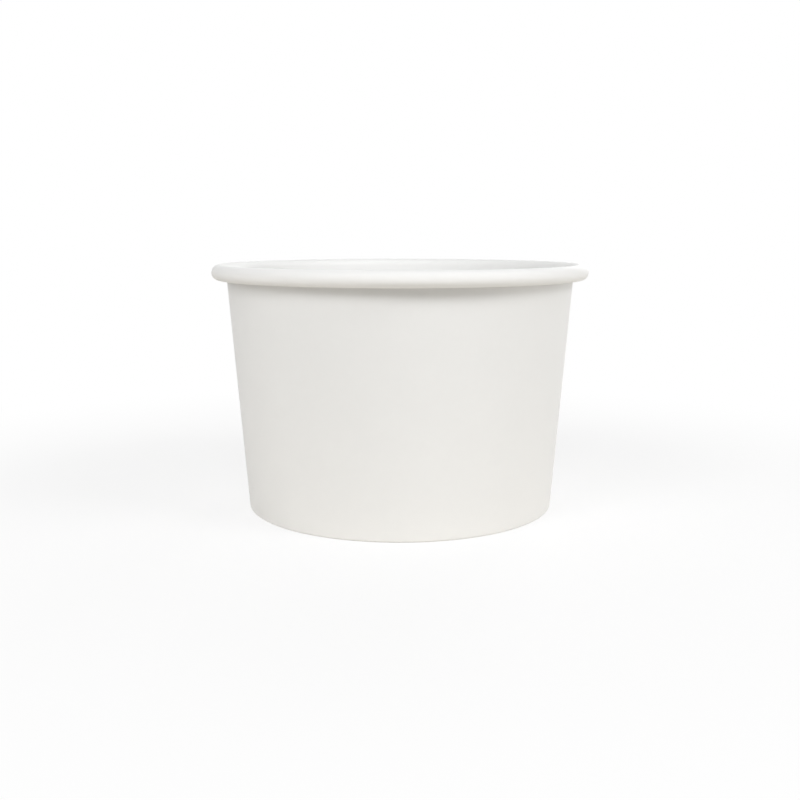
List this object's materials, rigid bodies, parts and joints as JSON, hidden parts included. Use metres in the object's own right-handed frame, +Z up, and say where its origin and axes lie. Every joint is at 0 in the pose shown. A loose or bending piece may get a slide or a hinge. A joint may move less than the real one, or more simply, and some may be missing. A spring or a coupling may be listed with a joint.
{
  "type": "paper sundae cup",
  "caption": "Plain white paper dessert cup: conical board wall with a rolled rim, lapped side seam and folded foot, closed by a sealed base disc.",
  "frame": {"origin": "centre of the foot ring, on the surface that the cup stands on", "axes": "+Z up the cup's axis to its open mouth, -Y to the front, +X to the cup's right as seen from the front, where the outer edge of the side seam is"},
  "size_m": [0.09, 0.09, 0.0587],
  "materials": {
    "coated_board": "smooth white board with a thin satin coating, raw fibre at its cut edges"
  },
  "bodies": {
    "root": {"side_wall": "coated_board", "base_disc": "coated_board"}
  },
  "joints": []
}
